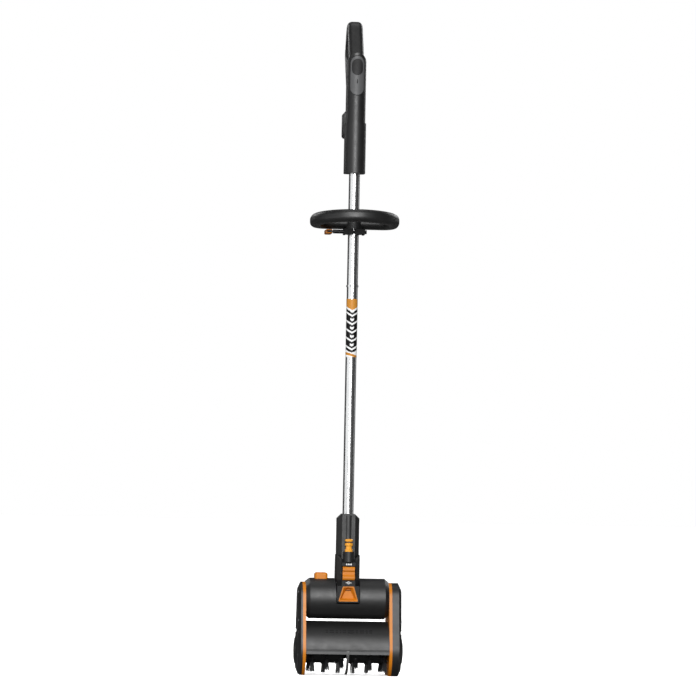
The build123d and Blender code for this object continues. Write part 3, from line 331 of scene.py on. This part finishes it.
SPECIAL = {
    # The clamp's black is darker and duller than the other black plastic: painted shade for the loop's shadow,
    # on a matte black finish.
    "aux_clamp": plastic("clamp_matte_black_painted_shade", (0.006, 0.006, 0.0062), 0.62, 0.5, 0.1, 0.22),
    "aux_bolt": metal("bolt_black_oxide", (0.035, 0.035, 0.036), 0.5, (0.05, 1, 1)),
    "neck_front_cover": NECK,
    "neck_body": NECK,
    "valve_rocker": rocker_material(),
}

for node_name, obj in NODES.items():
    chosen = SPECIAL.get(node_name) or MATERIALS[SLOT_OF[node_name]]
    for slot in obj.material_slots:
        slot.material = chosen


# ---------------------------------------------------------------- building pieces
def finish_piece(o, body, slot, material=None, smooth_deg=35):
    """Links a piece, gives it its finish and makes it ride on a body."""
    bpy.context.scene.collection.objects.link(o)
    o.data.materials.clear()
    o.data.materials.append(material or MATERIALS[slot])
    if smooth_deg:
        o.data.shade_smooth()
        o.data.set_sharp_from_angle(angle=math.radians(smooth_deg))
    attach(o, body)
    return o


def piece_from(name, bm, body, slot, material=None, smooth_deg=35):
    """Turns mesh work into a finished piece."""
    bmesh.ops.remove_doubles(bm, verts=bm.verts, dist=1e-6)
    bmesh.ops.recalc_face_normals(bm, faces=bm.faces)
    mesh = bpy.data.meshes.new(name)
    bm.to_mesh(mesh)
    bm.free()
    return finish_piece(bpy.data.objects.new(name, mesh), body, slot, material, smooth_deg)


def add_box(bm, low, high, bevel=0.0004):
    """A box with rounded edges, given in millimetres; the bevel is in metres."""
    low, high = Vector(low) * MM, Vector(high) * MM
    made = bmesh.ops.create_cube(bm, size=1)["verts"]
    size = high - low
    for v in made:
        v.co = Vector((v.co[i] * size[i] + (low[i] + high[i]) / 2 for i in range(3)))
    edges = {e for v in made for e in v.link_edges}
    bmesh.ops.bevel(bm, geom=list(edges), offset=bevel, segments=2, profile=0.5, affect="EDGES")


def ring_faces(bm, rings, closed_ends=True):
    """Joins rings of vertices, each one the same length, into a skin."""
    n = len(rings[0])
    for a, b in zip(rings, rings[1:]):
        for i in range(n):
            bm.faces.new((a[i], a[(i + 1) % n], b[(i + 1) % n], b[i]))
    if closed_ends:
        bm.faces.new(rings[0][::-1])
        bm.faces.new(rings[-1])


def add_lathe(bm, profile, origin, axis, steps=48):
    """A closed solid of revolution from (radius, height) pairs in millimetres."""
    turn = Vector((0, 0, 1)).rotation_difference(Vector(axis)).to_matrix()
    centre = Vector(origin) * MM
    rings = []
    for r, h in profile:
        ring = []
        for i in range(steps):
            a = 2 * math.pi * i / steps
            spoke = Vector((r * math.cos(a), r * math.sin(a), h))
            ring.append(bm.verts.new(centre + turn @ spoke * MM))
        rings.append(ring)
    ring_faces(bm, rings)


def add_tube(bm, points, radii, sides=8, closed=False):
    """A round bar through points in metres. radii is one number or one per point."""
    n = len(points)
    radii = radii if isinstance(radii, (list, tuple)) else [radii] * n
    rings = []
    side = None
    for i, p in enumerate(points):
        before = points[(i - 1) % n] if closed or i else points[0]
        after = points[(i + 1) % n] if closed or i < n - 1 else points[-1]
        along = (after - before).normalized()
        if side is None:
            side = along.orthogonal().normalized()
        side = (side - along * side.dot(along)).normalized()
        other = along.cross(side)
        ring = []
        for k in range(sides):
            a = 2 * math.pi * k / sides
            ring.append(bm.verts.new(p + (side * math.cos(a) + other * math.sin(a)) * radii[i]))
        rings.append(ring)
    if closed:
        rings.append(rings[0])
    ring_faces(bm, rings, not closed)


# ---------------------------------------------------------------- brush: tufts of separate filaments
BRUSH_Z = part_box("brush_axle")[0][2] / 2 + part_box("brush_axle")[1][2] / 2
ROOT_R, TIP_R = 0.0235, 0.0458
TUFT_PITCH, TUFT_ROWS, TUFT_COLUMNS = 0.0288, 8, 3
TUFT_STAGGER, TUFT_HELIX = 0.005, 10      # metres along the axle, degrees round it
FILAMENTS = 34
BUNDLE_R, CURL = 0.0036, 0.0011
GOLDEN_ANGLE = 2.39996                    # radians; spreads the filaments evenly in a tuft
SOCKET_PROFILE = [(0.0056, -0.0002), (0.0056, 0.0024), (0.0050, 0.0030), (0.0038, 0.0030)]
SOCKET_STEPS = 20


def tuft_frames():
    """Root, outward and sideways directions of each tuft."""
    for side in (-1, 1):
        for column in range(TUFT_COLUMNS):
            for row in range(TUFT_ROWS):
                turn = math.radians(row * 360 / TUFT_ROWS + column * TUFT_HELIX)
                outward = Vector((0, math.sin(turn), -math.cos(turn)))
                x = side * TUFT_PITCH * (column + 0.5) + TUFT_STAGGER * ((row + 1) % 3 - 1)
                root = Vector((x, 0, BRUSH_Z)) + outward * ROOT_R
                yield root, outward, Vector((1, 0, 0)), outward.cross(Vector((1, 0, 0)))


tufts = bmesh.new()
sockets = bmesh.new()
for root, outward, across, around in tuft_frames():
    lean = across * random.uniform(-0.05, 0.05) + around * random.uniform(-0.06, 0.06)
    for k in range(FILAMENTS):
        r = math.sqrt((k + 0.5) / FILAMENTS) * BUNDLE_R
        a = k * GOLDEN_ANGLE
        offset = across * (r * math.cos(a)) + around * (r * math.sin(a))
        splay = offset * random.uniform(0.15, 0.55) + lean * 0.02
        length = (TIP_R - ROOT_R) * random.uniform(0.90, 0.985)
        curl = (across * random.uniform(-1, 1) + around * random.uniform(-1, 1)) * CURL
        points = []
        for t in (0, 0.35, 0.7, 1):
            p = root + offset + outward * (length * t) + splay * t * t + curl * math.sin(t * 2.2)
            radial = Vector((0, p.y, p.z - BRUSH_Z))
            if radial.length > TIP_R:
                p -= radial.normalized() * (radial.length - TIP_R)
            points.append(p)
        add_tube(tufts, points, [0.00056, 0.00054, 0.0005, 0.00028], sides=5)
    rings = []
    for radius, height in SOCKET_PROFILE:
        ring = []
        for i in range(SOCKET_STEPS):
            a = 2 * math.pi * i / SOCKET_STEPS
            spoke = across * radius * math.cos(a) + around * radius * math.sin(a)
            ring.append(sockets.verts.new(root + outward * height + spoke))
        rings.append(ring)
    ring_faces(sockets, rings)
bristles = piece_from("bristle_filaments", tufts, "brush", "bristle", smooth_deg=60)
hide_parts("brush_bristles")
piece_from("tuft_sockets", sockets, "brush", "black_plastic")

# ---------------------------------------------------------------- neck: marks of the water valve
WHITE_INK = plastic("white_ink", (0.80, 0.80, 0.79), 0.5, 0.1, 0.04)
NECK_FACE = -43.0                         # millimetres, as in all of this section
MARK_THICK = 0.25


def add_extruded(bm, outline, y_face, thick):
    """A flat shape on a face that looks forward: outline of (x, z) in millimetres."""
    front = [bm.verts.new((x * MM, (y_face - thick) * MM, z * MM)) for x, z in outline]
    rear = [bm.verts.new((x * MM, (y_face + 0.2) * MM, z * MM)) for x, z in outline]
    ring_faces(bm, [rear, front])


def drop_outline(cx, cz, r, tall, steps=20):
    """A water drop: round below, pointed above."""
    out = []
    for i in range(steps):
        a = 2 * math.pi * i / steps + math.pi / 2
        pull = max(0.0, math.sin(a)) ** 3
        out.append((cx + r * math.cos(a) * (1 - 0.35 * pull), cz + r * math.sin(a) + pull * (tall - r)))
    return out


valve_z = (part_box("valve_rocker")[0][2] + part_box("valve_rocker")[1][2]) / 2 / MM
bm = bmesh.new()
for cx in (-4.2, 0, 4.2):
    add_extruded(bm, drop_outline(cx, valve_z + 17.6, 1.5, 2.6), NECK_FACE, MARK_THICK)
piece_from("valve_open_mark", bm, "neck", "pale_strip", WHITE_INK)

bm = bmesh.new()
CLOSED_Z = valve_z - 18.6
RING_OUTER, RING_INNER, RING_STEPS = 2.5, 1.35, 32
loops = []
for r, y in ((RING_OUTER, 0.2), (RING_OUTER, -MARK_THICK), (RING_INNER, -MARK_THICK), (RING_INNER, 0.2)):
    loop = []
    for i in range(RING_STEPS):
        a = 2 * math.pi * i / RING_STEPS
        x, z = r * math.cos(a), CLOSED_Z + r * math.sin(a)
        loop.append(bm.verts.new((x * MM, (NECK_FACE + y) * MM, z * MM)))
    loops.append(loop)
loops.append(loops[0])
ring_faces(bm, loops, closed_ends=False)
DASH_LOW, DASH_HIGH = CLOSED_Z - 0.7, CLOSED_Z + 0.7
for x0, x1 in ((-5.6, -3.4), (3.4, 5.6)):
    dash = [(x0, DASH_LOW), (x1, DASH_LOW), (x1, DASH_HIGH), (x0, DASH_HIGH)]
    add_extruded(bm, dash, NECK_FACE, MARK_THICK)
piece_from("valve_closed_mark", bm, "neck", "pale_strip", WHITE_INK)

FLANK_NORMAL = Vector((13, -11, 0)).normalized()
PLUG_X, PLUG_Y = 16.3, -39.5
PLUG_PROFILE = [(3.0, -0.4), (3.0, 0.3), (2.5, 0.7), (0.3, 0.8)]
bm = bmesh.new()
for side in (-1, 1):
    outward = (side * FLANK_NORMAL.x, FLANK_NORMAL.y, 0)
    add_lathe(bm, PLUG_PROFILE, (side * PLUG_X, PLUG_Y, valve_z), outward, 32)
piece_from("pivot_plugs", bm, "neck", "black_plastic", NECK)

# ---------------------------------------------------------------- hood: a row of low moulded bars
HOOD_R = (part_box("brush_hood")[1][2] - BRUSH_Z) / MM
BAR_STARTS = [-44, -36, -24, -16, -10, 0, 16, 24, 36, 43]
BAR_WIDTHS = [5, 9, 5, 3, 7, 13, 5, 9, 4, 6]
BAR_ROWS = [(38.5, 41.5), (43.5, 46.5)]   # degrees above the brush's front
bm = bmesh.new()
for x, width in zip(BAR_STARTS, BAR_WIDTHS):
    for low_deg, high_deg in BAR_ROWS:
        rings = []
        for t in (0, 1):
            row = []
            for deg, up in ((low_deg, -0.3), (low_deg, 0.5), (high_deg, 0.5), (high_deg, -0.3)):
                a = math.radians(deg)
                r = HOOD_R + up
                row.append(bm.verts.new((
                    (x + width * t) * MM, -r * math.cos(a) * MM, BRUSH_Z + r * math.sin(a) * MM
                )))
            rings.append(row)
        ring_faces(bm, rings)
piece_from("hood_relief_bars", bm, "head", "button_black")

# ---------------------------------------------------------------- side covers: vents and hub caps
MOTOR_Z = 152
VENT_BARS, VENT_PITCH, VENT_R, VENT_HALF_MIN = 6, 7, 17.5, 8
HUB_RIM = [(21, -0.5), (21, 0.5), (20.2, 0.9), (18.5, 0.9)]
HUB_MIDDLE = [(17.9, 0.35), (12.2, 0.35), (11.6, 0.9), (3, 1.1), (0.4, 1.1)]
for name, side, face in (("left", -1, -98), ("right", 1, 108.5)):
    bm = bmesh.new()
    for k in range(VENT_BARS):
        z = MOTOR_Z - 20 + k * VENT_PITCH
        half = max(VENT_HALF_MIN, math.sqrt(max(0.0, VENT_R ** 2 - (z - MOTOR_Z - 2) ** 2)))
        xs = sorted((face - side * 0.6, face + side * 0.35))
        add_box(bm, (xs[0], -half, z - 1.5), (xs[1], half, z + 1.5), 0.0003)
    piece_from(f"{name}_vent_slats", bm, "head", "black_plastic")

    low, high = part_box(f"{name}_lower_cap")
    cap_face = (high[0] if side > 0 else low[0]) / MM
    bm = bmesh.new()
    add_lathe(bm, HUB_RIM + HUB_MIDDLE, (cap_face, 0, BRUSH_Z / MM), (side, 0, 0), 64)
    piece_from(f"{name}_hub_cap", bm, "head", "charcoal_plastic")

# ---------------------------------------------------------------- pedal: tread bars
low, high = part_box("tilt_pedal")
TREAD_BARS, TREAD_START, TREAD_PITCH = 4, -7.5, 5
top = high[2] / MM
bm = bmesh.new()
for k in range(TREAD_BARS):
    y = TREAD_START + TREAD_PITCH * k
    add_box(bm, (low[0] / MM + 6, y - 0.8, top - 0.4), (high[0] / MM - 4, y + 0.8, top + 0.5))
piece_from("pedal_tread", bm, "pedal", "orange_plastic")

# ---------------------------------------------------------------- pedal spring: closed ends
low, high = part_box("pedal_spring")
WIRE_R, COIL_R, TURNS, CLOSED_TURNS = 0.0007, 0.005, 6.5, 0.9
SPRING_STEPS = 168
spring_x, spring_y = (low[0] + high[0]) / 2, (low[1] + high[1]) / 2
spring_low, spring_high = low[2] + WIRE_R, high[2] - WIRE_R
turn_height = 2 * WIRE_R
pitch = (spring_high - spring_low - 2 * CLOSED_TURNS * turn_height) / (TURNS - 2 * CLOSED_TURNS)
points = []
for i in range(SPRING_STEPS + 1):
    turn = TURNS * i / SPRING_STEPS
    open_turns = min(max(turn - CLOSED_TURNS, 0), TURNS - 2 * CLOSED_TURNS)
    closed_turns = turn - open_turns
    z = spring_low + open_turns * pitch + closed_turns * turn_height
    a = 2 * math.pi * turn
    points.append(Vector((spring_x + COIL_R * math.cos(a), spring_y + COIL_R * math.sin(a), z)))
bm = bmesh.new()
add_tube(bm, points, WIRE_R, 8)
spring = piece_from("pedal_coil_spring", bm, "head", "steel", smooth_deg=60)
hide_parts("pedal_spring")
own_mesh(spring)

# ---------------------------------------------------------------- second handle: sleeve round the clamp bolt
low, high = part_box("aux_bolt")
bolt_y = (low[1] + high[1]) / 2 / MM
bolt_z = (low[2] + high[2]) / 2 / MM
SLEEVE_START = -41
SLEEVE_PROFILE = [(2.6, 0), (3.1, 0.4), (3.1, 6.0), (2.6, 6.4)]
bm = bmesh.new()
add_lathe(bm, SLEEVE_PROFILE, (SLEEVE_START, bolt_y, bolt_z), (1, 0, 0), 40)
piece_from("cam_sleeve", bm, "aux", "amber_plastic")

# ---------------------------------------------------------------- top handle: dark ring round the panel as painted shade, light and grip ribs
PANEL_LOW, PANEL_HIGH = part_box("control_panel")
HANDLE_R = 19.2
ROUND_C = -24 + HANDLE_R                  # Y of the round front's centre, in millimetres


def handle_front(x, out=0.0):
    """Y of the handle's round front at that x, in millimetres."""
    return ROUND_C - math.sqrt(max(0.0, (HANDLE_R + out) ** 2 - x * x))


def obround_path(half_width, low_z, high_z, steps=20):
    """Upright slot outline as (x, z)."""
    out = []
    for i in range(steps + 1):
        a = math.pi * i / steps
        out.append((half_width * math.cos(a), high_z - half_width + half_width * math.sin(a)))
    for i in range(steps + 1):
        a = math.pi + math.pi * i / steps
        out.append((half_width * math.cos(a), low_z + half_width + half_width * math.sin(a)))
    return out


# A black ring along the panel's edge stands in for the shadowed gap round the panel: painted shade.
bm = bmesh.new()
path = obround_path(14.1, PANEL_LOW[2] / MM - 0.6, PANEL_HIGH[2] / MM + 0.6)
add_tube(bm, [Vector((x, handle_front(x, 0.1), z)) * MM for x, z in path], 0.00075, 8, closed=True)
piece_from("panel_edge_shade_ring", bm, "neck", "button_black", smooth_deg=60)

bm = bmesh.new()
low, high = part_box("power_button")
light_z = low[2] / MM - 13
add_box(bm, (-1.0, handle_front(0, 1.0), light_z - 4), (1.0, handle_front(0, 0.2), light_z + 4), 0.0004)
piece_from("charge_light", bm, "neck", "button_black")

# The ribs lie across the sloping arm of the grip, from a little below its middle upwards.
LOW_JOIN, HIGH_JOIN = Vector((0, 0.0417, 1.1412)), Vector((0, 0.1047, 1.2373))
GRIP_RIBS, RIB_START, RIB_PITCH = 10, 0.44, 0.051
arm = (HIGH_JOIN - LOW_JOIN).normalized()
outward = Vector((0, arm.z, -arm.y))
bm = bmesh.new()
for k in range(GRIP_RIBS):
    centre = LOW_JOIN.lerp(HIGH_JOIN, RIB_START + k * RIB_PITCH) + outward * 0.0002
    points = [centre + Vector((x, 0, 0)) for x in (-0.0095, -0.005, 0, 0.005, 0.0095)]
    add_tube(bm, points, [0.0005, 0.0011, 0.0012, 0.0011, 0.0005], 10)
piece_from("grip_ribs", bm, "neck", "rubber", smooth_deg=60)

# ---------------------------------------------------------------- battery: ribs and charge window
low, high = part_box("battery_case")
RIBS, RIB_FIRST, RIB_GAP = 5, 12, 6
bottom, top, rear = low[2] / MM, high[2] / MM, high[1] / MM
bm = bmesh.new()
for side in (-1, 1):
    face = (high[0] if side > 0 else low[0]) / MM
    for k in range(RIBS):
        y = rear - RIB_FIRST - RIB_GAP * k
        xs = sorted((face - side * 0.5, face + side * 0.7))
        add_box(bm, (xs[0], y - 1.2, bottom + 9), (xs[1], y + 1.2, top - 9), 0.0005)
piece_from("battery_ribs", bm, "battery", "black_plastic")
bm = bmesh.new()
add_box(bm, (-8, rear - 0.3, bottom + 20), (8, rear + 0.5, bottom + 26), 0.0004)
piece_from("battery_charge_window", bm, "battery", "grey_plastic")

# ---------------------------------------------------------------- tube: marks round the joint ring
low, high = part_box("joint_ring")
MARK_DEGREES = (-62, -25, 20, 55)
MARK_SINK, MARK_END, MARK_R = 0.97, 0.0008, 0.0009
bm = bmesh.new()
for deg in MARK_DEGREES:
    a = math.radians(deg)
    centre = Vector((math.sin(a), -math.cos(a), 0)) * high[0] * MARK_SINK
    points = [centre + Vector((0, 0, z)) for z in (low[2] + MARK_END, high[2] - MARK_END)]
    add_tube(bm, points, MARK_R, 10)
piece_from("joint_ring_marks", bm, "neck", "dark_steel")

# ---------------------------------------------------------------- stage, light and camera
AMBIENT = 0.035
FLOOR_HALF = 30


def by_ray(tree, lighting, seen):
    """One value for rays that light the scene and another for what the camera sees straight."""
    ray = add_node(tree, "ShaderNodeLightPath")
    level = add_node(tree, "ShaderNodeMapRange", To_Min=lighting, To_Max=seen)
    tree.links.new(ray.outputs["Is Camera Ray"], level.inputs["Value"])
    return level.outputs["Result"]


world = bpy.data.worlds.new("studio")
bpy.context.scene.world = world
world.use_nodes = True
background = world.node_tree.nodes["Background"]
world.node_tree.links.new(by_ray(world.node_tree, AMBIENT, 1.0), background.inputs["Strength"])
background.inputs["Color"].default_value = (1, 1, 1, 1)

floor_mesh = bpy.data.meshes.new("studio_floor")
corners = [(x * FLOOR_HALF, y * FLOOR_HALF, 0) for x, y in ((-1, -1), (1, -1), (1, 1), (-1, 1))]
floor_mesh.from_pydata(corners, [], [(0, 1, 2, 3)])
floor = bpy.data.objects.new("studio_floor", floor_mesh)
bpy.context.scene.collection.objects.link(floor)
floor_material, floor_tree, floor_shader = new_material("pale_floor")
floor_tree.links.new(by_ray(floor_tree, 0.08, 0.9), floor_shader.inputs["Base Color"])
floor_tree.links.new(by_ray(floor_tree, 0.0, 0.5), floor_shader.inputs["Emission Strength"])
floor_shader.inputs["Emission Color"].default_value = (1, 1, 1, 1)
floor_shader.inputs["Roughness"].default_value = 0.9
floor_shader.inputs["Specular IOR Level"].default_value = 0.0
floor_mesh.materials.append(floor_material)


def area_light(name, location, target, width, height, radiance):
    """A soft panel whose brightness is given as radiance."""
    lamp = bpy.data.lights.new(name, "AREA")
    lamp.shape = "RECTANGLE"
    lamp.size, lamp.size_y = width, height
    lamp.energy = radiance * math.pi * width * height
    o = bpy.data.objects.new(name, lamp)
    o.location = location
    o.rotation_mode = "QUATERNION"
    o.rotation_quaternion = (Vector(target) - Vector(location)).to_track_quat("-Z", "Y")
    bpy.context.scene.collection.objects.link(o)
    return o


MIDDLE = (0, 0, 0.62)
area_light("front_panel", (-0.6, -8.3, 2.45), (0, 0, 0.55), 2.6, 3.2, 21.0)
area_light("front_high_panel", (-0.4, -3.2, 2.6), (0, 0, 0.3), 1.7, 1.8, 7.0)
area_light("left_panel", (-2.8, -1.6, 0.7), MIDDLE, 4.2, 2.0, 1.0)
area_light("right_panel", (2.7, 0.8, 0.6), MIDDLE, 0.7, 1.8, 0.5)
area_light("back_right_panel", (2.0, 2.3, 2.2), MIDDLE, 1.0, 1.4, 5.5)
area_light("back_left_panel", (-2.0, 2.5, 2.4), MIDDLE, 1.0, 1.4, 5.5)
area_light("top_panel", (0, 0.3, 3.3), MIDDLE, 1.5, 1.5, 1.5)

sun = bpy.data.lights.new("floor_light", "SUN")
sun.energy = 2.2
sun.angle = math.radians(90)
sun_object = bpy.data.objects.new("floor_light", sun)
bpy.context.scene.collection.objects.link(sun_object)
only_floor = bpy.data.collections.new("lit_by_floor_light")
only_floor.objects.link(floor)
sun_object.light_linking.receiver_collection = only_floor

LENS, SENSOR = 200, 36
VIEW_SIZE = 1.392                         # metres across the view, at the object
AIM = Vector((0, 0, 0.6522))
AIM_LEFT = 0.0063
AZIMUTH, ELEVATION, ROLL = math.radians(-5), math.radians(-2), math.radians(1.105)
camera_data = bpy.data.cameras.new("camera")
camera_data.lens = LENS
camera_data.sensor_width = SENSOR
camera = bpy.data.objects.new("camera", camera_data)
bpy.context.scene.collection.objects.link(camera)
bpy.context.scene.camera = camera
back = Vector((
    math.sin(AZIMUTH) * math.cos(ELEVATION),
    -math.cos(AZIMUTH) * math.cos(ELEVATION),
    math.sin(ELEVATION),
))
right = Vector((math.cos(AZIMUTH), math.sin(AZIMUTH), 0))
DISTANCE = VIEW_SIZE / 2 / (SENSOR / 2 / LENS)
camera.location = AIM - AIM_LEFT * right + back * DISTANCE
camera.rotation_mode = "QUATERNION"
roll = Matrix.Rotation(ROLL, 4, "Z").to_quaternion()
camera.rotation_quaternion = (-back).to_track_quat("-Z", "Y") @ roll
camera_data.clip_end = 100
bpy.context.scene.view_settings.view_transform = "Standard"
